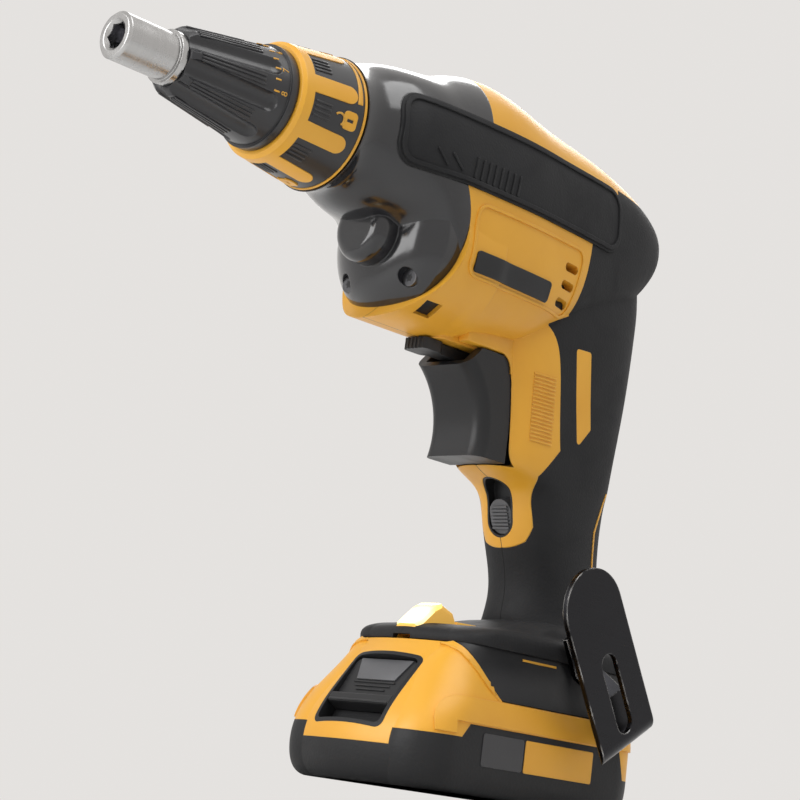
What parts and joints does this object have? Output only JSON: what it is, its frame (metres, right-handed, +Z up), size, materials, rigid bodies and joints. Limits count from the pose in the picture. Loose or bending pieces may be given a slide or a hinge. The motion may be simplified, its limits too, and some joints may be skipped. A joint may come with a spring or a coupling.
{
  "type": "drywall screwdriver",
  "caption": "Cordless pistol-grip screwdriver with a nut-setter socket, torque sleeve, lock collar, trigger, belt hook and slide-on battery.",
  "frame": {"origin": "centre of the battery's flat base, on the tool's middle plane", "axes": "+X along the spindle to the nose, +Y to the tool's left side, +Z up"},
  "size_m": [0.2738, 0.0886, 0.2568],
  "materials": {
    "yellow_housing": "satin moulded",
    "black_case": "glossy moulded",
    "black_rubber": "matt grained",
    "black_plastic": "satin moulded",
    "grey_plastic": "satin moulded",
    "yellow_collar": "satin moulded",
    "collar_moulding": "matt ridged",
    "black_sleeve": "satin moulded",
    "bright_steel": "bright plated",
    "gear_steel": "machined",
    "bearing_steel": "ground",
    "spring_steel": "hardened",
    "bronze": "machined",
    "contact_metal": "plated",
    "core_iron": "laminated",
    "sink_metal": "cast",
    "amber_hood": "clear tinted",
    "lens_clear": "clear",
    "board_green": "lacquered",
    "hook_steel": "black nickel",
    "screw_steel": "blackened",
    "yellow_battery": "satin moulded",
    "black_battery": "fine grained",
    "cell_wrap": "shrink wrapped"
  },
  "bodies": {
    "tool_body": {"housing_left": "yellow_housing", "housing_right": "yellow_housing", "gear_case": "black_case", "side_grip_left": "black_rubber", "side_grip_right": "black_rubber", "handle_grip_left": "black_rubber", "handle_grip_right": "black_rubber", "lamp_hood": "amber_hood", "lamp_lens": "lens_clear", "lamp_board": "board_green", "belt_hook": "hook_steel", "belt_hook_screw": "screw_steel", "case_screws": "screw_steel", "gear_case_screws": "screw_steel", "switch_module": "black_plastic", "control_module": "sink_metal", "motor_stator": "core_iron", "motor_bearings": "bearing_steel", "spindle_bearings": "bearing_steel", "nose_bushing": "bronze", "terminal_block": "black_plastic", "terminal_blades": "contact_metal", "clutch_springs": "spring_steel", "slider_bed": "black_plastic", "foot_skirt_left": "black_plastic", "foot_skirt_right": "black_plastic"},
    "drive_line": {"spindle_shaft": "gear_steel", "drive_gear": "gear_steel", "clutch_plate": "gear_steel", "bit_socket": "bright_steel", "socket_magnet": "spring_steel"},
    "motor_rotor": {"motor_shaft": "gear_steel", "rotor_core": "spring_steel", "cooling_fan": "black_plastic"},
    "torque_setting": {"torque_sleeve": "black_sleeve"},
    "spring_stop": {"spring_nut": "gear_steel"},
    "collar": {"lock_collar": "yellow_collar", "collar_grip": "collar_moulding"},
    "trigger_key": {"trigger": "black_plastic"},
    "lever": {"direction_lever": "black_plastic"},
    "slider": {"lock_slider": "grey_plastic"},
    "battery_pack": {"battery_upper": "yellow_battery", "battery_lower": "black_battery", "battery_cells": "cell_wrap", "cell_holder": "black_plastic", "battery_board": "board_green", "battery_contacts": "contact_metal", "battery_screws": "screw_steel", "latch_tray": "black_battery"},
    "latch": {"latch_button": "black_plastic"}
  },
  "joints": [
    {"name": "spindle_spin", "type": "hinge", "parent": "tool_body", "child": "drive_line", "pos_m": [0.11, 0, 0.22], "axis": [1, 0, 0], "continuous": true},
    {"name": "motor_spin", "type": "hinge", "parent": "tool_body", "child": "motor_rotor", "pos_m": [0.06, 0, 0.19], "axis": [1, 0, 0], "continuous": true},
    {"name": "torque_turn", "type": "hinge", "parent": "tool_body", "child": "torque_setting", "pos_m": [0.11, 0, 0.22], "axis": [1, 0, 0], "range_deg": [0, 270]},
    {"name": "spring_stop_slide", "type": "slide", "parent": "tool_body", "child": "spring_stop", "axis": [1, 0, 0], "range_m": [0, 0.004]},
    {"name": "collar_turn", "type": "hinge", "parent": "tool_body", "child": "collar", "pos_m": [0.11, 0, 0.22], "axis": [1, 0, 0], "range_deg": [0, 30]},
    {"name": "trigger_press", "type": "slide", "parent": "tool_body", "child": "trigger_key", "axis": [-1, 0, 0], "range_m": [0, 0.0065], "stiffness_N_per_m": 800, "springref_m": -0.001},
    {"name": "lever_swing", "type": "hinge", "parent": "tool_body", "child": "lever", "pos_m": [0.016, 0, 0.157], "axis": [0, 0, 1], "range_deg": [-10, 10]},
    {"name": "slider_move", "type": "slide", "parent": "tool_body", "child": "slider", "axis": [0.342, 0, 0.9397], "range_m": [0, 0.008]},
    {"name": "battery_slide", "type": "slide", "parent": "tool_body", "child": "battery_pack", "axis": [1, 0, 0], "range_m": [0, 0.09]},
    {"name": "latch_press", "type": "slide", "parent": "battery_pack", "child": "latch", "axis": [0.5382, 0, -0.8428], "range_m": [0, 0.004], "stiffness_N_per_m": 1200, "springref_m": -0.0008}
  ],
  "couplings": [
    {"joint": "motor_spin", "follows": "spindle_spin", "ratio": -4},
    {"joint": "spring_stop_slide", "follows": "torque_turn", "m_per_rad": 0.00084}
  ]
}
